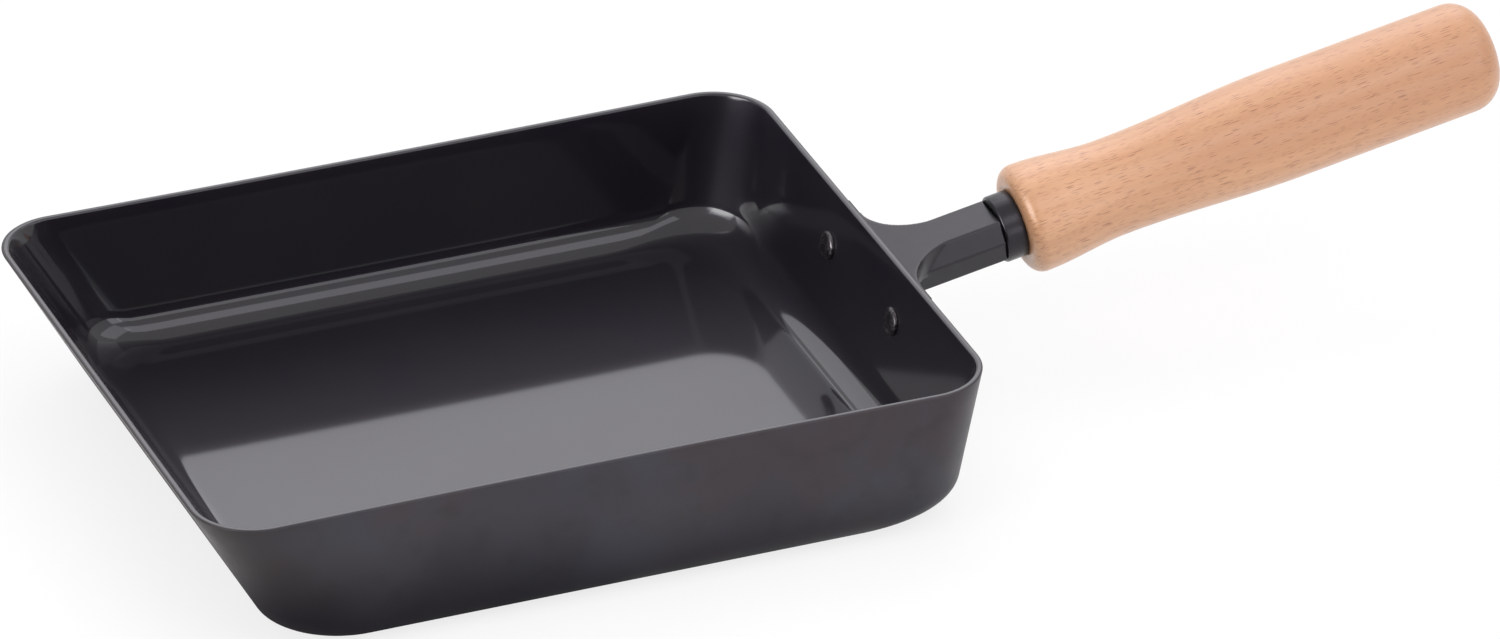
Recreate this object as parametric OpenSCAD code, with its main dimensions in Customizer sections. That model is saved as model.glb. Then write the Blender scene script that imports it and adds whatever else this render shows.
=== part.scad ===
// Oblong rolled-omelette pan of pressed sheet steel, with a riveted bracket and a turned wooden grip.
// The origin is on the surface that the pan stands on, under the middle of the rim's length and width.
// The handle points along +X, the width runs along Y and +Z is up. Sizes are in millimetres.

/* [Pan] */
// Length over the rim, from the sloping toe wall to the handle wall
pan_l = 200; // [170:1:230]
// Width over the rim
pan_w = 162; // [140:1:190]
// Height of the rim above the surface
pan_h = 38.5; // [36:0.5:46]
// Thickness of the steel sheet
sheet_t = 1.6; // [1.2:0.1:2.4]
// Slope of the toe wall, in degrees from upright
toe_slope = 29; // [20:1:34]
// Slope of the handle wall, in degrees from upright
heel_slope = 8.5; // [5:0.5:12]
// Slope of the two side walls, in degrees from upright
side_slope = 2; // [0:0.5:6]
// Outer radius of the bend between the base and the walls
base_bend_r = 10.5; // [7:0.5:13]
// Plan radius of the rim's corners
rim_corner_r = 16; // [12:1:22]
// Plan radius of the base's corners at the toe
toe_corner_r = 21; // [15:1:28]
// Plan radius of the base's corners at the handle wall
heel_corner_r = 32; // [24:1:36]
// How far the rim bows inward halfway along each side wall
side_bow = 0.6; // [0:0.1:1.2]

/* [Rivets] */
// Height of the rivets above the surface
rivet_z = 24.3; // [23:0.1:26]
// Distance between the two rivets
rivet_pitch = 40.6; // [38:0.2:46]
// Diameter of a rivet's shank
rivet_d = 4; // [3:0.5:5]
// Diameter of the low round head inside the pan
rivet_head_d = 7.2; // [6.6:0.2:8.4]
// Height of the low round head inside the pan
rivet_head_h = 1.3; // [1:0.1:1.8]
// Height of the formed head outside the bracket
rivet_tail_h = 1.9; // [1.4:0.1:2.4]

/* [Bracket] */
// Height at which the handle's axis meets the handle wall
axis_z = 25.7; // [24:0.1:28]
// Rise of the handle's axis, in degrees
handle_rise = 10.6; // [6:0.1:16]
// Thickness of the flange against the handle wall
flange_t = 5.2; // [4:0.1:6]
// Steel left beyond each rivet's centre to the flange's end
flange_end = 6.2; // [5:0.1:8]
// Depth of the flange below the rivets' centres
flange_drop = 7; // [5.5:0.1:9]
// Radius of the flange's corners
flange_corner_r = 3; // [1.5:0.5:4]
// Radius of the concave flare from the neck's sides to the flange
flare_r = 14; // [10:0.5:16]
// Length of the neck from the handle wall to the collar, along the axis
neck_l = 34.2; // [30:0.2:44]
// Height of the neck's six-sided section
neck_h = 11.2; // [9:0.2:11.6]
// Width of the neck's flat top and bottom
neck_flat_w = 11.4; // [9:0.2:12]
// Width of the neck across its middle edges
neck_mid_w = 14.8; // [13:0.2:16]
// Depth of the flared web, measured down from the neck's flat top
web_depth = 6.6; // [4:0.2:8]
// Diameter of the round tang inside the grip
tang_d = 9; // [8:0.2:10]
// Length of the tang beyond the neck
tang_l = 20; // [16:1:26]

/* [Collar] */
// Diameter of the collar between the neck and the grip
collar_d = 16.8; // [16.4:0.2:20]
// Length of the collar that shows
collar_l = 5.4; // [4:0.2:8]
// Diameter of the collar's sleeve inside the grip
sleeve_d = 12.6; // [11.6:0.2:14]
// Length of the collar's sleeve inside the grip
sleeve_l = 6; // [3:0.5:9]

/* [Grip] */
// Length of the wooden grip
grip_l = 127; // [100:1:140]
// Diameter of the swelling near the collar
grip_front_d = 27.4; // [25:0.2:31]
// Diameter of the waist
grip_waist_d = 24; // [21:0.2:26]
// Diameter of the grip's rear half
grip_rear_d = 27.6; // [25:0.2:31]
// Distance of the waist from the grip's front face
waist_at = 26; // [22:1:36]
// Distance at which the rear swelling begins
rear_at = 73; // [62:1:84]
// Radius that rounds the front end
front_round = 3.5; // [2:0.5:6]
// Radius that rounds the butt
butt_round = 8; // [4:0.5:9]

/* [Bolt] */
// Diameter of the long bolt's shank
bolt_d = 5; // [4:0.5:6]
// Diameter of the bolt's cheese head
bolt_head_d = 8.6; // [8:0.2:9.6]
// Height of the bolt's cheese head
bolt_head_h = 3.4; // [2.4:0.2:4]
// Width of the screwdriver slot
slot_w = 1.4; // [1:0.1:1.8]
// Depth of the screwdriver slot
slot_depth = 1.5; // [1:0.1:1.8]
// Outer diameter of the washer
washer_d = 10.4; // [9.8:0.2:11.4]
// Thickness of the washer
washer_t = 1; // [0.8:0.1:1.6]
// Depth of the butt's recess from the butt's face to the washer's seat
recess_depth = 9; // [7:0.5:14]
// Depth to which the bolt screws into the tang
thread_l = 13; // [8:1:16]

/* [Fits] */
// Clearance all round a rivet or a bolt in its hole
hole_gap = 0.1; // [0.05:0.05:0.2]
// Clearance all round the tang, the sleeve and the washer
fit_gap = 0.2; // [0.1:0.05:0.3]

/* [Hidden] */
$fn = 64;

bend_steps = 6;
corner_steps = 8;
side_steps = 6;
curve_steps = 10;
round_steps = 6;
head_steps = 5;
// Size of the blocks that trim the bracket
reach = 80;
// How far a cut runs past the surface that it opens
over = 1;
// Room round a rivet's outer head
seat_room = 0.6;
// How far the flare's ends reach into the neck
flare_lap = 0.1;
// Width of the collar's broken front edge
collar_edge = 0.5;

inner_bend_r = base_bend_r - sheet_t;
wall_x = pan_l / 2 - (pan_h - rivet_z) * tan(heel_slope);
axis_x = pan_l / 2 - (pan_h - axis_z) * tan(heel_slope);
flange_half = rivet_pitch / 2 + flange_end;
flange_top = neck_h;
seat_d = rivet_head_d + 2 * seat_room;
collar_at = neck_l;
grip_at = collar_at + collar_l;
butt_at = grip_at + grip_l;
seat_at = butt_at - recess_depth;
tang_end = neck_l + tang_l;
bolt_tip = tang_end - thread_l;
thread_room = 2;
tang_room = 1;
recess_d = washer_d + 2 * fit_gap;

// Outward run of a wall at height z, from the edge of the flat base.
// A bend of radius r about the base bend's centre leads into a straight wall.
function run(z, slope, r) =
    z < base_bend_r - r * sin(slope)
        ? sqrt(max(0, r * r - pow(base_bend_r - z, 2)))
        : r * cos(slope) + (z - base_bend_r + r * sin(slope)) * tan(slope);

// Edges of the flat base: the rim's edges less the whole run of each wall
toe_x = -pan_l / 2 + run(pan_h, toe_slope, base_bend_r);
heel_x = pan_l / 2 - run(pan_h, heel_slope, base_bend_r);
side_y = pan_w / 2 - run(pan_h, side_slope, base_bend_r);

// Plan radius of a corner at height z, from the base's radius to the rim's
function corner(z, slope, r, base_r) =
    let(share = (run(z, slope, r) / run(pan_h, slope, r)
                 + run(z, side_slope, r) / run(pan_h, side_slope, r)) / 2)
    base_r + (rim_corner_r - base_bend_r + r - base_r) * share;

function arc(cx, cy, r, from) =
    [for (i = [0 : corner_steps]) let(a = from + 90 * i / corner_steps) [cx + r * cos(a), cy + r * sin(a)]];

// Points between two corners, drawn in by the bow towards +Y or -Y
function side(a, b, bow) =
    [for (i = [1 : side_steps - 1])
        let(t = i / side_steps)
        [a[0] + (b[0] - a[0]) * t, a[1] + (b[1] - a[1]) * t + bow * 4 * t * (1 - t)]];

function last(list) = list[len(list) - 1];

// One level outline of the shell at height z, for the outer or the inner skin
function outline(z, r) =
    let(x0 = toe_x - run(z, toe_slope, r),
        x1 = heel_x + run(z, heel_slope, r),
        y1 = side_y + run(z, side_slope, r),
        rt = corner(z, toe_slope, r, toe_corner_r),
        rh = corner(z, heel_slope, r, heel_corner_r),
        bow = side_bow * z / pan_h,
        c1 = arc(x1 - rh, y1 - rh, rh, 0),
        c2 = arc(x0 + rt, y1 - rt, rt, 90),
        c3 = arc(x0 + rt, rt - y1, rt, 180),
        c4 = arc(x1 - rh, rh - y1, rh, 270))
    concat(c1, side(last(c1), c2[0], -bow), c2, side(last(c2), c3[0], 0),
           c3, side(last(c3), c4[0], bow), c4, side(last(c4), c1[0], 0));

function raised(points, z) = [for (p = points) [p[0], p[1], z]];

// Heights of a skin's outlines: along the bend, then the rim
function levels(r) = concat([for (i = [0 : bend_steps]) base_bend_r - r * cos(90 * i / bend_steps)], [pan_h]);

module pan_shell() {
    outer = levels(base_bend_r);
    inner = levels(inner_bend_r);
    skins = concat([for (z = outer) raised(outline(z, base_bend_r), z)],
                   [for (i = [len(inner) - 1 : -1 : 0]) raised(outline(inner[i], inner_bend_r), inner[i])]);
    n = len(skins[0]);
    count = len(skins);
    bands = [for (k = [0 : count - 2], i = [0 : n - 1])
        let(j = (i + 1) % n, a = k * n, b = (k + 1) * n)
        each [[a + i, b + i, b + j], [a + i, b + j, a + j]]];
    under = count * n;
    upper = under + 1;
    base = [for (i = [0 : n - 1]) [under, i, (i + 1) % n]];
    cooking_face = [for (i = [0 : n - 1]) [upper, (count - 1) * n + (i + 1) % n, (count - 1) * n + i]];
    middle_x = (toe_x + heel_x) / 2;
    polyhedron(points = concat([for (s = skins) each s], [[middle_x, 0, 0], [middle_x, 0, sheet_t]]),
               faces = concat(base, bands, cooking_face), convexity = 4);
}

// Places its children on the handle wall: X out of the wall, Z up along it, at the rivets' height
module on_wall() {
    translate([wall_x, 0, rivet_z]) rotate([0, heel_slope, 0]) children();
}

// Places its children on the handle's axis: X along it, from where it meets the handle wall
module on_axis() {
    translate([axis_x, 0, axis_z]) rotate([0, -handle_rise, 0]) children();
}

// A round bar along X from one distance to another
module bar(from, to, d) {
    translate([from, 0, 0]) rotate([0, 90, 0]) cylinder(h = to - from, d = d);
}

module at_rivets() {
    on_wall() for (s = [-1, 1]) translate([0, s * rivet_pitch / 2, 0]) children();
}

module pan_body() {
    color([0.17, 0.16, 0.17])
    difference() {
        pan_shell();
        at_rivets() bar(-sheet_t - over, over, rivet_d + 2 * hole_gap);
    }
}

// Half-profile of a low round head, from its foot to its crown, as [radius, height] pairs
function head_arc(d, h) =
    let(r = (d * d / 4 + h * h) / (2 * h), spread = asin(d / 2 / r))
    [for (i = [0 : head_steps]) let(a = spread * (1 - i / head_steps)) [r * sin(a), r * cos(a) - r + h]];

module rivets() {
    inside = [for (p = head_arc(rivet_head_d, rivet_head_h)) [p[0], -sheet_t - p[1]]];
    outside = [for (p = head_arc(rivet_head_d, rivet_tail_h)) [p[0], flange_t + p[1]]];
    turned = [for (i = [head_steps : -1 : 0]) inside[i]];
    shank = [[rivet_d / 2, -sheet_t], [rivet_d / 2, flange_t]];
    color([0.3, 0.29, 0.29])
    at_rivets() rotate([0, 90, 0]) rotate_extrude() polygon(concat(turned, shank, outside));
}

// Everything below the neck's flat top and down to a given depth under it
module under_top(depth) {
    on_axis() translate([-reach / 2, -reach / 2, neck_h / 2 - depth]) cube([reach * 2, reach, depth]);
}

module outside_wall() {
    on_wall() translate([0, -reach / 2, -reach / 2]) cube([reach, reach, reach]);
}

module flange() {
    z0 = -flange_drop;
    intersection() {
        on_wall() rotate([90, 0, 90]) linear_extrude(flange_t) {
            translate([-flange_half, z0 + flange_corner_r]) square([2 * flange_half, flange_top + flange_drop - 2 * flange_corner_r]);
            translate([-flange_half + flange_corner_r, z0]) square([2 * (flange_half - flange_corner_r), flange_top + flange_drop]);
            for (s = [-1, 1], z = [z0 + flange_corner_r, flange_top - flange_corner_r])
                translate([s * (flange_half - flange_corner_r), z]) circle(r = flange_corner_r);
        }
        under_top(reach);
    }
}

// Six-sided neck, widest along its middle edges
module neck() {
    half = neck_flat_w / 2;
    mid = neck_mid_w / 2;
    top = neck_h / 2;
    intersection() {
        on_axis() translate([-reach / 4, 0, 0]) rotate([90, 0, 90])
            linear_extrude(neck_l + reach / 4)
            polygon([[half, top], [mid, 0], [half, -top], [-half, -top], [-mid, 0], [-half, top]]);
        outside_wall();
    }
}

// Web under the neck's flat top that flares to the flange in a concave quarter round on each side
module web() {
    half = neck_flat_w / 2;
    intersection() {
        on_wall() translate([0, 0, -reach / 4]) linear_extrude(reach / 2) difference() {
            translate([0, -half - flare_r]) square([flange_t + flare_r, 2 * (half + flare_r)]);
            for (s = [-1, 1]) translate([flange_t + flare_r, s * (half - flare_lap + flare_r)]) circle(r = flare_r);
        }
        under_top(web_depth);
    }
}

module handle_bracket() {
    color([0.22, 0.22, 0.24])
    difference() {
        union() {
            flange();
            web();
            neck();
            on_axis() bar(neck_l - over, tang_end, tang_d);
        }
        at_rivets() {
            bar(-over, flange_t + over, rivet_d + 2 * hole_gap);
            bar(flange_t, flange_t + flare_r, seat_d);
        }
        on_axis() bar(bolt_tip - thread_room, tang_end + over, bolt_d + 2 * hole_gap);
    }
}

module collar() {
    color([0.1, 0.1, 0.11])
    on_axis() rotate([0, 90, 0]) rotate_extrude() {
        bore = tang_d / 2 + fit_gap;
        polygon([[bore, collar_at], [collar_d / 2 - collar_edge, collar_at], [collar_d / 2, collar_at + collar_edge],
                 [collar_d / 2, grip_at], [sleeve_d / 2, grip_at],
                 [sleeve_d / 2, grip_at + sleeve_l], [bore, grip_at + sleeve_l]]);
    }
}

// Half-width of the grip at distance g from its front face: eased from the swelling to the waist and out again
function ease(t) = (1 - cos(180 * t)) / 2;
function grip_r(g) =
    (g < waist_at
        ? grip_front_d + (grip_waist_d - grip_front_d) * ease((g - front_round) / (waist_at - front_round))
        : g < rear_at
            ? grip_waist_d + (grip_rear_d - grip_waist_d) * ease((g - waist_at) / (rear_at - waist_at))
            : grip_rear_d) / 2;

module handle_grip() {
    front = [for (i = [0 : round_steps]) let(a = 90 * i / round_steps)
        [grip_front_d / 2 - front_round * (1 - sin(a)), front_round * (1 - cos(a))]];
    body = [for (i = [1 : curve_steps]) let(g = front_round + (waist_at - front_round) * i / curve_steps) [grip_r(g), g]];
    swell = [for (i = [1 : curve_steps]) let(g = waist_at + (rear_at - waist_at) * i / curve_steps) [grip_r(g), g]];
    butt = [for (i = [0 : round_steps]) let(a = 90 * i / round_steps)
        [grip_rear_d / 2 - butt_round * (1 - cos(a)), grip_l - butt_round * (1 - sin(a))]];
    color([0.84, 0.66, 0.52])
    difference() {
        on_axis() rotate([0, 90, 0]) translate([0, 0, grip_at]) rotate_extrude()
            polygon(concat([[0, 0]], front, body, swell, butt, [[0, grip_l]]));
        on_axis() {
            bar(grip_at - over, grip_at + sleeve_l + fit_gap, sleeve_d + 2 * fit_gap);
            bar(grip_at, tang_end + tang_room, tang_d + 2 * fit_gap);
            bar(grip_at, butt_at, bolt_d + 2 * fit_gap);
            bar(seat_at, butt_at + over, recess_d);
        }
    }
}

module handle_bolt() {
    head_at = seat_at + washer_t;
    color([0.7, 0.7, 0.7])
    on_axis() difference() {
        union() {
            bar(bolt_tip, head_at + over, bolt_d);
            bar(head_at, head_at + bolt_head_h, bolt_head_d);
        }
        translate([head_at + bolt_head_h - slot_depth, -bolt_head_d, -slot_w / 2])
            cube([slot_depth + over, 2 * bolt_head_d, slot_w]);
    }
}

module bolt_washer() {
    color([0.75, 0.75, 0.75])
    on_axis() difference() {
        bar(seat_at, seat_at + washer_t, washer_d);
        bar(seat_at - over, seat_at + washer_t + over, bolt_d + 2 * hole_gap);
    }
}

pan_body();
rivets();
handle_bracket();
collar();
handle_grip();
handle_bolt();
bolt_washer();
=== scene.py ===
import bmesh
import bpy
import numpy as np
from mathutils import Matrix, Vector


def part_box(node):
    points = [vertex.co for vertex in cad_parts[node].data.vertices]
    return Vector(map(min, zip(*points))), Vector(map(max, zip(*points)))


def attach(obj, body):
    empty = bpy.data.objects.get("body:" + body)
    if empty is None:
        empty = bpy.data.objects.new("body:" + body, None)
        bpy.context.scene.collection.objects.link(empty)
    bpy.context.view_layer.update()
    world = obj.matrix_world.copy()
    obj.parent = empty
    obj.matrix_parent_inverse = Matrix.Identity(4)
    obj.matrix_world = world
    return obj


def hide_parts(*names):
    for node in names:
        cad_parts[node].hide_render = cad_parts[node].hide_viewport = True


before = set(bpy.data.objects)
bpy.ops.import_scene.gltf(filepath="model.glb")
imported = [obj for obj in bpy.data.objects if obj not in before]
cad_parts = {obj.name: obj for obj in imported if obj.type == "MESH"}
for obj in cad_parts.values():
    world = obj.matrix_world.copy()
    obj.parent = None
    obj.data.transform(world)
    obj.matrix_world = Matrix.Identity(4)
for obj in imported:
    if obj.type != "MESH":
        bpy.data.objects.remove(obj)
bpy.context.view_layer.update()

# Pan
# One sheet of mild steel is pressed into an oblong tray, trimmed level at the rim and blued by heat.
# The toe wall slopes far out and the other walls stand nearly upright. The inside has a smooth black finish
# baked on, and the outside keeps the satin of the sheet and the colours that the heat gave it.
MM = 0.001
pan_low, pan_high = (np.array(corner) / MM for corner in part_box("pan_body"))
pan_l, pan_w, pan_h = pan_high - pan_low
sheet_t = 1.6
toe_slope, heel_slope, side_slope = np.radians([29, 8.5, 2])
bend_r = 10.5
rim_corner_r = 16
toe_corner_r = 21
heel_corner_r = 32
side_bow = 0.6
rim_round = 0.5
bend_steps = 18
corner_steps = 20
side_steps = 24
wall_steps = 6
lip_steps = 4


def run(z, slope, r):
    """Outward run of a wall at height z: a bend of radius r, then the straight wall at its slope."""
    tangent = bend_r - r * np.sin(slope)
    bend = np.sqrt(np.maximum(0, r * r - (bend_r - z) ** 2))
    wall = r * np.cos(slope) + (z - tangent) * np.tan(slope)
    return np.where(z < tangent, bend, wall)


toe_x = -pan_l / 2 + run(pan_h, toe_slope, bend_r)
heel_x = pan_l / 2 - run(pan_h, heel_slope, bend_r)
side_y = pan_w / 2 - run(pan_h, side_slope, bend_r)


def corner_radius(z, slope, r, base_r):
    """Plan radius of a corner. It goes from the base's to the rim's by the mean share of its walls' runs."""
    end_share = run(z, slope, r) / run(pan_h, slope, r)
    side_share = run(z, side_slope, r) / run(pan_h, side_slope, r)
    share = (end_share + side_share) / 2
    return base_r + (rim_corner_r - bend_r + r - base_r) * share


def outlines(z, r):
    """Level outlines of the sheet, one ring for each height z and bend radius r.

    Each ring has four round corners joined by straight edges. The edges lie at the flat base's edges
    plus the walls' runs, and the two long ones are drawn inward by a parabola that grows with z.
    """
    toe = toe_x - run(z, toe_slope, r)
    heel = heel_x + run(z, heel_slope, r)
    side = side_y + run(z, side_slope, r)
    toe_r = corner_radius(z, toe_slope, r, toe_corner_r)
    heel_r = corner_radius(z, heel_slope, r, heel_corner_r)
    quarters = [(heel, heel_r, 1), (toe, toe_r, 1), (toe, toe_r, -1), (heel, heel_r, -1)]
    corners = []
    for quarter, (edge, radius, towards) in enumerate(quarters):
        turn = np.pi / 2 * (quarter + np.linspace(0, 1, corner_steps + 1))
        x = (edge - np.sign(edge) * radius)[:, None] + radius[:, None] * np.cos(turn)
        y = (towards * (side - radius))[:, None] + radius[:, None] * np.sin(turn)
        corners.append(np.stack([x, y], -1))
    share = np.linspace(0, 1, side_steps + 1)[1:-1, None]
    parts = []
    for quarter, draw in enumerate([-1, 0, 1, 0]):
        start = corners[quarter][:, -1:]
        end = corners[(quarter + 1) % 4][:, :1]
        edge = start + (end - start) * share
        edge[..., 1] += draw * side_bow * (z / pan_h)[:, None] * (4 * share * (1 - share))[:, 0]
        parts += [corners[quarter], edge]
    ring = np.concatenate(parts, 1)
    height = np.broadcast_to(z[:, None, None], ring[..., :1].shape)
    return np.concatenate([ring, height], -1)


def skin(r):
    """Heights and bend radius of one skin's outlines: even turns round the bend, then even steps up."""
    bend_z = bend_r - r * np.cos(np.linspace(0, np.pi / 2, bend_steps + 1))
    wall_z = np.linspace(bend_r, pan_h - rim_round, wall_steps + 1)[1:]
    z = np.concatenate([bend_z, wall_z])
    return np.stack([z, np.full_like(z, r)], -1)


def ringed(name, rings, capped=True):
    """Object whose skin joins neighbouring rings of points by quads. The rings are in millimetres.

    Capped, the first and the last ring are closed by a fan to their mean point. Otherwise the last ring
    is joined to the first, as round a washer.
    """
    count, n = rings.shape[:2]
    points = rings.reshape(-1, 3)
    i = np.arange(n)
    j = (i + 1) % n
    row = np.arange(count - 1 if capped else count)[:, None]
    near = row * n
    far = (row + 1) % count * n
    faces = np.stack([near + i, near + j, far + j, far + i], -1).reshape(-1, 4).tolist()
    if capped:
        points = np.concatenate([points, rings[:1].mean(1), rings[-1:].mean(1)])
        first = np.stack([j, i, np.full(n, count * n)], -1)
        last = np.stack([far[-1] + i, far[-1] + j, np.full(n, count * n + 1)], -1)
        faces += first.tolist() + last.tolist()
    mesh = bpy.data.meshes.new(name)
    mesh.from_pydata((points * MM).tolist(), [], faces)
    mesh.shade_smooth()
    piece = bpy.data.objects.new(name, mesh)
    bpy.context.scene.collection.objects.link(piece)
    return piece


class Link:
    """A shader socket. Arithmetic on it adds Math nodes, also where a plain number stands first."""

    def __init__(self, nodes, socket):
        self.nodes = nodes
        self.socket = socket

    def math(self, operation, *values):
        """Adds a Math node on the given values, links or numbers."""
        return self.nodes.add("Math", {"operation": operation}, dict(enumerate(values)))

    def __add__(self, other):
        return self.math("ADD", self, other)

    def __sub__(self, other):
        return self.math("SUBTRACT", self, other)

    def __rsub__(self, other):
        return self.math("SUBTRACT", other, self)

    def __mul__(self, other):
        return self.math("MULTIPLY", self, other)

    def __truediv__(self, other):
        return self.math("DIVIDE", self, other)

    __radd__ = __add__
    __rmul__ = __mul__


class Nodes:
    """The node tree of a material or of the world, emptied and built up by add()."""

    def __init__(self, owner):
        owner.use_nodes = True
        self.owner = owner
        self.tree = owner.node_tree
        self.tree.nodes.clear()

    def add(self, kind, settings, inputs, output=0):
        """Makes one node, sets its settings and then its sockets' values or links, and gives one output."""
        node = self.tree.nodes.new("ShaderNode" + kind)
        for name, value in settings.items():
            setattr(node, name, value)
        for key, value in inputs.items():
            if isinstance(value, Link):
                self.tree.links.new(value.socket, node.inputs[key])
            else:
                node.inputs[key].default_value = value
        return Link(self, node.outputs[output]) if len(node.outputs) else node

    def place(self):
        """Object coordinates in millimetres."""
        metres = self.add("TexCoord", {}, {}, "Object")
        return self.scaled(metres, (1 / MM, 1 / MM, 1 / MM))

    def scaled(self, vector, factors):
        """Vector with each part times its own factor."""
        return self.add("VectorMath", {"operation": "MULTIPLY"}, {0: vector, 1: factors})

    def noise(self, place, size, detail=2.0, roughness=0.55):
        """Soft noise from 0 to 1. Its blots are about size millimetres across, one number or three."""
        sizes = size if isinstance(size, tuple) else (size, size, size)
        vector = self.scaled(place, tuple(1 / s for s in sizes))
        inputs = {"Vector": vector, "Scale": 1.0, "Detail": detail, "Roughness": roughness}
        return self.add("TexNoise", {}, inputs)

    def step(self, value, low, high):
        """0 below low, 1 above high, and a smooth rise between them. With low above high it falls."""
        inputs = {"Value": value, "From Min": low, "From Max": high}
        return self.add("MapRange", {"interpolation_type": "SMOOTHSTEP"}, inputs)

    def mix(self, share, one, other):
        """Colour between one, where share is 0, and other, where it is 1."""
        return self.add("Mix", {"data_type": "RGBA"}, {0: share, 6: one, 7: other}, 2)

    def bump(self, height, millimetres):
        """Normal of a surface raised by height times so many millimetres."""
        return self.add("Bump", {}, {"Height": height, "Distance": millimetres * MM, "Strength": 1.0})

    def surface(self, **inputs):
        """Ends a material in a Principled shader. Its socket names are written with underscores."""
        named = {key.replace("_", " "): value for key, value in inputs.items()}
        shader = self.add("BsdfPrincipled", {}, named)
        self.add("OutputMaterial", {}, {"Surface": shader})
        return self.owner


def finish(name):
    """Empty node tree of a new material."""
    return Nodes(bpy.data.materials.new(name))


def display(red, green, blue):
    """Linear colour of a display colour whose channels go from 0 to 255."""
    share = np.array([red, green, blue]) / 255
    linear = np.where(share <= 0.04045, share / 12.92, ((share + 0.055) / 1.055) ** 2.4)
    return (*linear.tolist(), 1.0)


def baked_black():
    """Inside of the pan: smooth black, glossy on top and hazy below, with faint ripples and clouds."""
    black = finish("baked_black")
    violet_black, cloud_black = display(16, 14, 20), display(20, 16, 21)
    place = black.place()
    clouds = black.step(black.noise(place, 38, 2.0), 0.35, 0.68)
    ripples = black.noise(place, 9, 1.0)
    grain = black.noise(place, 0.4)
    return black.surface(
        Base_Color=black.mix(clouds, violet_black, cloud_black),
        Roughness=0.44 + clouds * 0.06 + grain * 0.04,
        Specular_IOR_Level=0.15,
        Specular_Tint=(0.92, 0.84, 1.0, 1.0),
        Coat_Weight=0.9,
        Coat_Roughness=0.065,
        Coat_IOR=1.5,
        Normal=black.bump(ripples + grain * 0.02, 0.008),
    )


def blued_steel():
    """Outside of the pan: satin sheet with drifting heat colours, browner at the toe, painted shade at the
    base.

    The painted shade is a matt black laid over the satin by a height mask, which reaches higher towards
    the toe. It darkens the lower bend and the base where they would mirror the floor in the pan's shadow.
    The heights and the places along the pan at which the shade and the brown begin and are full are in
    millimetres.
    """
    steel = finish("blued_steel")
    cool_grey, warm_grey, blue_grey = display(49, 48, 54), display(54, 46, 49), display(52, 54, 61)
    # The last colour is painted shade, laid on the base and the lower bend.
    scale_grey, toe_brown, base_shade_black = display(40, 37, 41), display(38, 32, 32), display(29, 27, 32)
    brown_from, brown_full = -20, -80
    shade_from, shade_full = 30, -2
    place = steel.place()
    along = steel.add("SeparateXYZ", {}, {0: place}, 0)
    height = steel.add("SeparateXYZ", {}, {0: place}, 2)
    drift = steel.step(steel.noise(place, 52, 2.0), 0.34, 0.64)
    patches = steel.step(steel.noise(place, 24, 5.0), 0.44, 0.66)
    scale = steel.step(steel.noise(place, 9, 6.0), 0.5, 0.72)
    tooth = steel.noise(place, 0.35)
    rolled = steel.noise(place, (30, 1.1, 1.1), 3.0)
    drifting = steel.mix(drift, cool_grey, warm_grey)
    patched = steel.mix(patches * 0.75, drifting, blue_grey)
    scaled = steel.mix(scale * 0.5, patched, scale_grey)
    brown = steel.step(along + drift * 30, brown_from, brown_full)
    browned = steel.mix(brown * 0.9, scaled, toe_brown)
    satin = steel.add("BsdfPrincipled", {}, {
        "Base Color": browned,
        "Roughness": 0.34 + patches * 0.1 + rolled * 0.06,
        "IOR": 1.36,
        "Normal": steel.bump(tooth + rolled * 0.6, 0.004),
    })
    # Painted shade: a matt black over the base and the lower bend, reaching higher towards the toe.
    matt = steel.add("BsdfDiffuse", {}, {"Color": base_shade_black})
    base_shade = steel.step(height + along * 0.1 + drift * 4, shade_from, shade_full)
    base_shaded = steel.add("MixShader", {}, {0: base_shade * 0.9, 1: satin, 2: matt})
    steel.add("OutputMaterial", {}, {"Surface": base_shaded})
    return steel.owner


outer = skin(bend_r)
inner = skin(bend_r - sheet_t)
lip = np.linspace(0, np.pi / 2, lip_steps + 1)[1:]
outer_lip = np.stack([pan_h - rim_round * (1 - np.sin(lip)), bend_r - rim_round * (1 - np.cos(lip))], -1)
inner_lip = np.stack([outer_lip[:, 0], 2 * bend_r - sheet_t - outer_lip[:, 1]], -1)
sheet_path = np.concatenate([outer, outer_lip, inner_lip[::-1], inner[::-1]])
sheet_rings = outlines(sheet_path[:, 0], sheet_path[:, 1])
middle = np.array([(toe_x + heel_x) / 2, 0, 0])
flat_shares = np.array([0.04, 0.3, 0.6, 0.85, 0.985])[:, None, None]
spread = flat_shares * [1, 1, 0] + [0, 0, 1]
underside = middle + (sheet_rings[0] - middle) * spread
cooking_face = middle + (sheet_rings[-1] - middle) * spread[::-1]
pan = ringed("pressed_pan", np.concatenate([underside, sheet_rings, cooking_face]))

# The rows of faces up to the lip's crest are the outside, and so is the first of the two closing fans.
rows_outside = len(underside) + len(outer) + len(outer_lip) - 1
ring_points = sheet_rings.shape[1]
slots = np.ones(len(pan.data.polygons), np.int32)
slots[:rows_outside * ring_points] = 0
slots[-2 * ring_points:-ring_points] = 0
pan.data.materials.append(blued_steel())
pan.data.materials.append(baked_black())
pan.data.polygons.foreach_set("material_index", slots)
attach(pan, "root")
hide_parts("pan_body")

# Rivets
# Two solid steel rivets go through the handle wall and the bracket. Their low round heads lie inside
# the pan, and their outer ends are hammered into domes over the bracket's flange.
rivet_z = 24.3
rivet_pitch = 40.6
rivet_d = 4
rivet_head_d = 7.2
rivet_head_h = 1.3
rivet_tail_h = 1.9
head_fullness = 3
crown_gap = 0.03
flange_t = 5.2
wall_x = pan_l / 2 - (pan_h - rivet_z) * np.tan(heel_slope)


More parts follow.
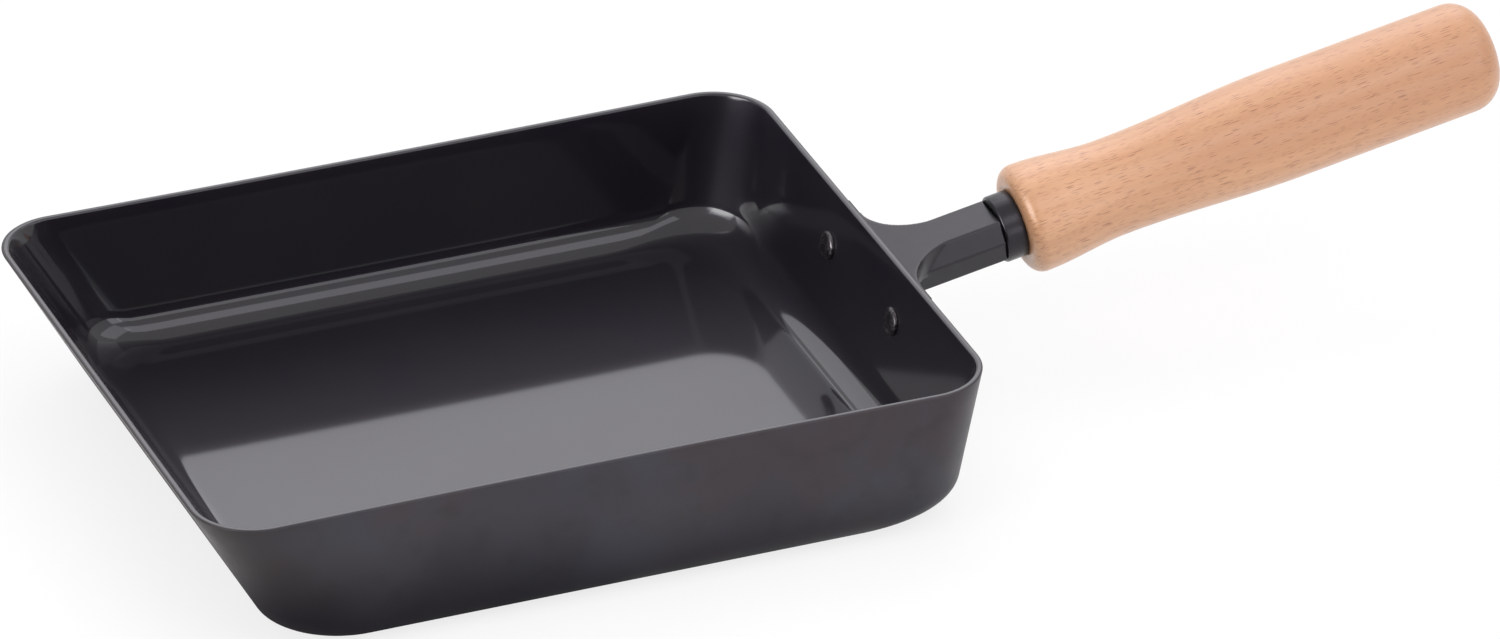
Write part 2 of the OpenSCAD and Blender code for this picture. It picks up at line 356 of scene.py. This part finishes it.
def turned(name, profile, origin, tilt, capped=False, steps=96):
    """Piece turned on a lathe: a profile of distances along the axis and radii, carried round the axis.

    The axis starts at origin and rises from the X axis by tilt.
    """
    turn = np.linspace(0, 2 * np.pi, steps, endpoint=False)
    along = np.repeat(profile[:, :1], steps, 1)
    across = profile[:, 1:] * np.cos(turn)
    up = profile[:, 1:] * np.sin(turn)
    x = along * np.cos(tilt) - up * np.sin(tilt)
    z = along * np.sin(tilt) + up * np.cos(tilt)
    return ringed(name, np.stack([x, across, z], -1) + origin, capped)


def dome(d, h, steps=18):
    """Profile of a low round head from crown to foot: a quarter of a superellipse, d wide and h high.

    It starts a small turn off the crown, so that the closing fan has a ring to stand on.
    """
    turn = np.linspace(crown_gap, np.pi / 2, steps)
    power = 2 / head_fullness
    return np.stack([h * np.cos(turn) ** power, d / 2 * np.sin(turn) ** power], -1)


def hammered_steel():
    """Rivet steel: blackened with the pan, with small facets from the hammer that are burnished brighter."""
    steel = finish("hammered_steel")
    dark, burnished = display(58, 55, 58), display(92, 88, 90)
    place = steel.place()
    facets = steel.noise(place, 1.6, 1.0)
    tooth = steel.noise(place, 0.3)
    bright = steel.step(facets, 0.45, 0.7)
    return steel.surface(
        Base_Color=steel.mix(bright, dark, burnished),
        Metallic=0.8,
        Roughness=0.24 - bright * 0.06 + tooth * 0.08,
        Normal=steel.bump(facets + tooth * 0.08, 0.1),
    )


head = dome(rivet_head_d, rivet_head_h)
tail = dome(rivet_head_d, rivet_tail_h)
inside_head = np.stack([-sheet_t - head[:, 0], head[:, 1]], -1)
outside_head = np.stack([flange_t + tail[::-1, 0], tail[::-1, 1]], -1)
shank = np.array([[-sheet_t, rivet_d / 2], [flange_t, rivet_d / 2]])
rivet_profile = np.concatenate([inside_head, shank, outside_head])
rivet_finish = hammered_steel()
for side, name in ((-1, "rivet_near"), (1, "rivet_far")):
    on_wall = [wall_x, side * rivet_pitch / 2, rivet_z]
    rivet = turned(name, rivet_profile, on_wall, -heel_slope, capped=True, steps=64)
    rivet.data.materials.append(rivet_finish)
    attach(rivet, "root")
    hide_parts("rivets")

# Handle bracket
# A steel drop forging: a flange for the rivets, a flat-topped web that flares to it, a six-sided neck and
# a round tang for the collar and the grip. Its edges are soft from the die, and it is coated black.
handle_rise = np.radians(10.6)
weld_gap = 0.001 * MM
forging_voxel = 0.27
forging_smoothing = 5


def cad_copy(node, name):
    """New object with the mesh of a CAD node, its loose triangles merged into one skin."""
    shape = bmesh.new()
    shape.from_mesh(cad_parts[node].data)
    bmesh.ops.remove_doubles(shape, verts=shape.verts, dist=weld_gap)
    mesh = bpy.data.meshes.new(name)
    shape.to_mesh(mesh)
    shape.free()
    piece = bpy.data.objects.new(name, mesh)
    bpy.context.scene.collection.objects.link(piece)
    return piece


def settle(piece):
    """Applies a piece's modifiers, so that its mesh is final."""
    final = bpy.data.meshes.new_from_object(piece.evaluated_get(bpy.context.evaluated_depsgraph_get()))
    piece.modifiers.clear()
    piece.data = final


def forged_black():
    """Satin black coating over a forging: a fine grain over low lumps, whose tone differs a little."""
    coat = finish("forged_black")
    black, grey_black = display(20, 19, 23), display(25, 24, 28)
    place = coat.place()
    skin_grain = coat.noise(place, 0.45, 3.0)
    lumps = coat.noise(place, 4.0, 2.0)
    return coat.surface(
        Base_Color=coat.mix(coat.step(lumps, 0.35, 0.65), black, grey_black),
        Roughness=0.2 + skin_grain * 0.1,
        IOR=1.46,
        Specular_Tint=(0.97, 0.93, 1.0, 1.0),
        Normal=coat.bump(skin_grain * 0.5 + lumps * 0.6, 0.012),
    )


# The mesh is laid along the grid of the remesh, so that the neck's edges come out straight, and turned back.
bracket = cad_copy("handle_bracket", "forged_bracket")
along_the_grid = Matrix.Rotation(float(handle_rise), 4, "Y")
bracket.data.transform(along_the_grid)
remesh = bracket.modifiers.new("skin", "REMESH")
remesh.mode = "VOXEL"
remesh.voxel_size = forging_voxel * MM
remesh.use_smooth_shade = True
smooth = bracket.modifiers.new("soft_edges", "SMOOTH")
smooth.factor = 0.5
smooth.iterations = forging_smoothing
settle(bracket)
bracket.data.transform(along_the_grid.inverted())
bracket.data.materials.append(forged_black())
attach(bracket, "root")
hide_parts("handle_bracket")

# Collar
# A ring of black heat-proof resin between the neck and the wood. Its sleeve sits on the tang inside the
# grip, and its face covers the end of the grip, so that the heat of the steel doesn't char it.
axis_z = 25.7
axis_x = pan_l / 2 - (pan_h - axis_z) * np.tan(heel_slope)
handle_start = [axis_x, 0, axis_z]
neck_l = 34.2
tang_d = 9
collar_d = 16.8
collar_l = 5.4
collar_edge_r = 0.6
sleeve_d = 12.6
sleeve_l = 6
fit_gap = 0.2
grip_at = neck_l + collar_l


def rounded(corner_x, corner_r, radius, start, steps=6):
    """Quarter circle of a profile, about its own centre, from start degrees and 90 degrees on."""
    turn = np.radians(start - np.linspace(0, 90, steps + 1))
    return np.stack([corner_x + radius * np.cos(turn), corner_r + radius * np.sin(turn)], -1)


def heatproof_resin():
    """Satin black resin with a fine tooth and a tone that drifts as it flowed in the mould."""
    resin = finish("heatproof_resin")
    black, flow_black = display(11, 10, 12), display(15, 14, 16)
    place = resin.place()
    tooth = resin.noise(place, 0.25)
    flow = resin.noise(place, 3.0, 1.0)
    return resin.surface(
        Base_Color=resin.mix(flow, black, flow_black),
        Roughness=0.21 + flow * 0.06 + tooth * 0.06,
        IOR=1.46,
        Specular_Tint=(0.95, 0.89, 1.0, 1.0),
        Normal=resin.bump(tooth, 0.004),
    )


bore_r = tang_d / 2 + fit_gap
front_edge = rounded(neck_l + collar_edge_r, collar_d / 2 - collar_edge_r, collar_edge_r, 180)
back_edge = rounded(grip_at - collar_edge_r / 2, collar_d / 2 - collar_edge_r / 2, collar_edge_r / 2, 90)
sleeve = [[grip_at, sleeve_d / 2], [grip_at + sleeve_l, sleeve_d / 2], [grip_at + sleeve_l, bore_r]]
collar_profile = np.concatenate([[[neck_l, bore_r]], front_edge, back_edge, sleeve])
collar = turned("resin_collar", collar_profile, handle_start, handle_rise)
collar.data.materials.append(heatproof_resin())
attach(collar, "root")
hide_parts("collar")

# Grip
# Steamed beech, turned on a lathe with a swelling at the front, a waist for the fingers and a full rear.
# It is sanded, sealed with clear satin lacquer and drawn against the collar by the bolt.
grip_l = 127
grip_front_d, grip_waist_d, grip_rear_d = 27.4, 24, 27.6
waist_at, rear_at = 26, 73
front_round, butt_round = 3.5, 8
recess_d, recess_depth, recess_edge_r = 10.8, 9, 0.3
tang_end = neck_l + 20
tang_room = 1
bolt_d = 5
butt_at = grip_at + grip_l
seat_at = butt_at - recess_depth
flank_rings = 90
pith_y, pith_z = 50, -34
ring_width = 2.6


def grip_radius(along):
    """Radius of the grip: a cosine slope from the swelling to the waist, and one from there to the rear."""
    to_waist = np.clip((along - front_round) / (waist_at - front_round), 0, 1)
    to_rear = np.clip((along - waist_at) / (rear_at - waist_at), 0, 1)
    fall = (1 - np.cos(np.pi * to_waist)) / 2
    rise = (1 - np.cos(np.pi * to_rear)) / 2
    return (grip_front_d - (grip_front_d - grip_waist_d) * fall + (grip_rear_d - grip_waist_d) * rise) / 2


def flecks(wood, along, across, deep, size, limit):
    """Mask of scattered small dashes. Space is cut into cells of the three sizes, and a cell may hold one.

    A dash is where the cell noise's distance to the cell's own point is small. It is kept in the cells
    whose random number is above the limit, and fades out a little to each side of it.
    """
    cell_inputs = {0: along / size[0], 1: across / size[1], 2: deep / size[2]}
    cell = {"Vector": wood.add("CombineXYZ", {}, cell_inputs), "Scale": 1.0}
    core = wood.add("TexVoronoi", {}, cell, "Distance")
    luck = wood.add("SeparateXYZ", {}, {0: wood.add("TexVoronoi", {}, cell, "Color")}, 0)
    dash = wood.step(core, 0.28, 0.14)
    kept = wood.step(luck, limit - 0.1, limit + 0.15)
    return dash * kept


def steamed_beech():
    """Beech: pinkish straw with faint growth rings round a far pith, fine fibres, brown rays and finer pores.

    The rays are flat in real wood. Each is long along the grain, thin round the pith and deep towards it.
    The ground darkens towards the butt, where a darker strip runs along the grain on one side: painted shade
    where the lacquer mirrors no light, partly also a darker tone of the wood. The strip's edges are
    distances round the pith, and its start is a distance along the grain, all in millimetres.
    """
    wood = finish("steamed_beech")
    # The third colour is the painted shade of a strip along the grain.
    pale, tan, strip_shade_tan = display(206, 156, 116), display(193, 141, 102), display(176, 124, 87)
    late_tan, fibre_tan, fleck_brown = display(180, 123, 84), display(172, 120, 84), display(122, 66, 38)
    strip_near, strip_far, strip_start = (145.5, 150.5), (158, 154), (150, 195)
    along_the_grain = {
        "Vector": wood.place(),
        "Rotation": (0.0, float(handle_rise), 0.0),
        "Location": (0.0, -pith_y, -pith_z),
    }
    grain = wood.add("Mapping", {}, along_the_grain)
    part = {name: wood.add("SeparateXYZ", {}, {0: grain}, name) for name in "XYZ"}
    cross_cut = wood.scaled(grain, (0.0, 1.0, 1.0))
    from_pith = wood.add("VectorMath", {"operation": "LENGTH"}, {0: cross_cut}, "Value")
    round_pith = from_pith.math("ARCTAN2", part["Z"], part["Y"]) * float(np.hypot(pith_y, pith_z))
    sway = wood.noise(grain, (70, 9, 9), 2.0)
    season = (from_pith + sway * 3.0) / ring_width
    ring_share = season.math("FRACT", season)
    late = wood.step(ring_share, 0.55, 0.97) * wood.step(ring_share, 1.0, 0.97)
    bands = wood.noise(grain, (110, 8, 8), 2.0)
    streaks = wood.noise(grain, (45, 1.8, 1.8), 4.0)
    fibres = wood.noise(grain, (6, 0.15, 0.15), 2.0)
    across = round_pith + sway * 1.2
    rays = flecks(wood, part["X"], across, from_pith, (6, 0.24, 3), 0.42) * 0.9
    pores = flecks(wood, part["X"], across + 40, from_pith, (3.6, 0.17, 1.8), 0.3) * 0.65
    ground_share = wood.step(streaks * 0.4 + bands * 0.6 + part["X"] * 0.0015, 0.64, 0.96)
    ground = wood.mix(ground_share, pale, tan)
    wavy = across + streaks * 3
    # Painted shade, partly also darker wood: a strip along the grain on one side, from the middle to the
    # butt.
    shade_strip = wood.step(wavy, *strip_near) * wood.step(wavy, *strip_far) * wood.step(part["X"], *strip_start)
    strip_shaded = wood.mix(shade_strip * 0.6, ground, strip_shade_tan)
    ringed_ground = wood.mix(late * 0.25, strip_shaded, late_tan)
    fibrous = wood.mix(wood.step(fibres, 0.5, 0.72) * 0.32, ringed_ground, fibre_tan)
    return wood.surface(
        Base_Color=wood.mix(rays.math("MAXIMUM", rays, pores), fibrous, fleck_brown),
        Roughness=0.44 + fibres * 0.1,
        IOR=1.45,
        Coat_Weight=0.75,
        Coat_Roughness=0.29,
        Normal=wood.bump(fibres * -0.4 + streaks * 0.3 - rays * 0.5, 0.02),
    )


shoulder = rounded(grip_at + front_round, grip_front_d / 2 - front_round, front_round, 180, 12)
flank_at = np.linspace(front_round, grip_l - butt_round, flank_rings)[1:-1]
flank = np.stack([grip_at + flank_at, grip_radius(flank_at)], -1)
butt = rounded(butt_at - butt_round, grip_rear_d / 2 - butt_round, butt_round, 90, 12)
recess_edge = rounded(butt_at - recess_edge_r, recess_d / 2 + recess_edge_r, recess_edge_r, 0)
bores = [
    [seat_at, recess_d / 2],
    [seat_at, bolt_d / 2 + fit_gap],
    [tang_end + tang_room, bolt_d / 2 + fit_gap],
    [tang_end + tang_room, tang_d / 2 + fit_gap],
    [grip_at + sleeve_l + fit_gap, tang_d / 2 + fit_gap],
    [grip_at + sleeve_l + fit_gap, sleeve_d / 2 + fit_gap],
    [grip_at, sleeve_d / 2 + fit_gap],
]
grip_profile = np.concatenate([shoulder, flank, butt, recess_edge, bores])
grip = turned("beech_grip", grip_profile, handle_start, handle_rise, steps=128)
grip.data.materials.append(steamed_beech())
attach(grip, "root")
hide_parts("handle_grip")

# Bolt and washer
# A long stainless machine screw with a slotted cheese head, and the turned washer that it draws against
# the wood. They hold the grip and the collar on the tang, and are sunk in the butt.
edge_break = 0.25


def turned_stainless():
    """Stainless steel with fine turning marks and an even, bright satin."""
    steel = finish("turned_stainless")
    bright, dull = display(196, 195, 194), display(178, 177, 178)
    place = steel.place()
    marks = steel.noise(place, (0.12, 2.0, 2.0), 2.0)
    blotch = steel.noise(place, 3.0, 1.0)
    return steel.surface(
        Base_Color=steel.mix(blotch, bright, dull),
        Metallic=1.0,
        Roughness=0.24 + marks * 0.12,
        Normal=steel.bump(marks, 0.006),
    )


stainless = turned_stainless()
for node in ("handle_bolt", "bolt_washer"):
    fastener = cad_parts[node]
    weld = fastener.modifiers.new("skin", "WELD")
    weld.merge_threshold = weld_gap
    bevel = fastener.modifiers.new("broken_edges", "BEVEL")
    bevel.width = edge_break * MM
    bevel.segments = 3
    bevel.limit_method = "ANGLE"
    bevel.harden_normals = True
    fastener.data.materials.clear()
    fastener.data.materials.append(stainless)

# Floor, lights and camera
# A white paper floor, a white room and eight soft boxes, seen by a long lens from the toe end. The diffuse
# light comes from the boxes and from a sky that is brighter overhead. Reflections show the white room, and
# over it a soft bright window at the left, which lights nothing diffusely.
floor_half = 8
floor_z = -0.0002
paper_white = 0.86
paper_glow = 0.8
room_light = 0.06
sky_light = 1.45
window_azimuth, window_elevation = np.radians([-109, 10])
window_edges = np.cos(np.radians([26, 9]))
window_glow = 7.5
white = (1.0, 1.0, 1.0, 1.0)


def heading(azimuth, elevation):
    """Unit vector of a direction. Azimuth goes from +Y towards +X, elevation upwards, both in radians."""
    out = np.cos(elevation)
    return np.array([np.sin(azimuth) * out, np.cos(azimuth) * out, np.sin(elevation)])


def ray_masks(nodes):
    """Two masks: all rays that show the background, and those that a surface mirrors or lets through."""
    kinds = ("Camera", "Glossy", "Transmission")
    direct, mirrored, through = (nodes.add("LightPath", {}, {}, f"Is {kind} Ray") for kind in kinds)
    reflected = mirrored.math("MAXIMUM", mirrored, through)
    return reflected.math("MAXIMUM", reflected, direct), reflected


floor_mesh = bpy.data.meshes.new("studio_floor")
floor_corners = [(-floor_half, -floor_half, floor_z), (floor_half, -floor_half, floor_z),
                 (floor_half, floor_half, floor_z), (-floor_half, floor_half, floor_z)]
floor_mesh.from_pydata(floor_corners, [], [(0, 1, 2, 3)])
floor = bpy.data.objects.new("studio_floor", floor_mesh)
bpy.context.scene.collection.objects.link(floor)

paper = finish("white_paper")
matt = paper.add("BsdfDiffuse", {}, {"Color": (paper_white, paper_white, paper_white, 1.0)})
glow = paper.add("Emission", {}, {"Color": white, "Strength": 1.0})
lit = paper.add("MixShader", {}, {0: ray_masks(paper)[0] * paper_glow, 1: matt, 2: glow})
paper.add("OutputMaterial", {}, {"Surface": lit})
floor_mesh.materials.append(paper.owner)

world = bpy.data.worlds.new("studio")
bpy.context.scene.world = world
room = Nodes(world)
shown, reflected = ray_masks(room)
direction = room.add("TexCoord", {}, {}, "Generated")
upward = room.add("SeparateXYZ", {}, {0: direction}, 2)
window_way = {0: direction, 1: tuple(heading(window_azimuth, window_elevation).tolist())}
towards_window = room.add("VectorMath", {"operation": "DOT_PRODUCT"}, window_way, "Value")
window = window_glow * room.step(towards_window, *window_edges.tolist())
sky = room_light + upward * upward * sky_light
strength = shown + reflected * window + (1 - shown) * sky
background = room.add("Background", {}, {"Color": white, "Strength": strength})
room.add("OutputWorld", {}, {"Surface": background})

box_distance = 2.0
edge_share = 0.28
cool_white = (0.985, 0.97, 1.045)


def soft_box(name, azimuth, elevation, width, height, glow, steps=2):
    """Area lamp facing the pan. Its heading, width and height are in degrees, as seen from the pan.

    Its glow is the radiance that a mirror would show in its middle. Each further step is a smaller lamp
    over the others, in the same place, which gives the box a soft edge.
    """
    toward = heading(*np.radians([azimuth, elevation]))
    across = np.array([-np.cos(np.radians(azimuth)), np.sin(np.radians(azimuth)), 0])
    turn = Matrix(np.stack([across, np.cross(toward, across), toward], 1).tolist()).to_4x4()
    full_width, full_height = 2 * box_distance * np.tan(np.radians([width, height]) / 2)
    for step in range(steps):
        share = 1 - step * edge_share
        lamp = bpy.data.lights.new(f"{name}_{step}", "AREA")
        lamp.shape = "RECTANGLE"
        lamp.color = cool_white
        lamp.size = full_width * share
        lamp.size_y = full_height * share
        lamp.energy = glow / steps * np.pi * lamp.size * lamp.size_y
        box = bpy.data.objects.new(lamp.name, lamp)
        box.matrix_world = Matrix.Translation((toward * box_distance).tolist()) @ turn
        bpy.context.scene.collection.objects.link(box)


soft_box("back_right_box", 30, 38, 28, 36, 1.3, steps=1)
soft_box("back_left_box", -15, 37, 32, 30, 3.5, steps=3)
soft_box("top_box", 4, 61, 56, 24, 1.8)
soft_box("front_box", 158, 50, 36, 21, 3.3)
soft_box("right_box", 112, 40, 34, 24, 2.5)
soft_box("low_front_box", 158, 12, 26, 18, 2.9)
soft_box("low_right_box", 138, 16, 18, 16, 3.9)
soft_box("left_box", -106, 18, 34, 42, 4.2)

# The camera's distance is in metres. Its aim lies right and up of the origin by so many millimetres.
azimuth, elevation, roll = np.radians([-21.907, 29.454, 0.094])
camera_distance = 3.461
camera_reach = 100
aim_right, aim_up = 62.77, 30.08
lens = 344.84
forward = heading(-azimuth, -elevation)
level = np.cross(forward, [0, 0, 1])
level /= np.linalg.norm(level)
upright = np.cross(level, forward)
right = np.cos(roll) * level + np.sin(roll) * upright
up = np.cos(roll) * upright - np.sin(roll) * level
eye = (aim_right * right + aim_up * up) * MM - camera_distance * forward
camera = bpy.data.objects.new("camera", bpy.data.cameras.new("camera"))
camera.data.lens = lens
camera.data.clip_end = camera_reach
camera_turn = Matrix(np.stack([right, up, -forward], 1).tolist()).to_4x4()
camera.matrix_world = Matrix.Translation(eye.tolist()) @ camera_turn
bpy.context.scene.collection.objects.link(camera)
bpy.context.scene.camera = camera
bpy.context.scene.view_settings.view_transform = "Standard"
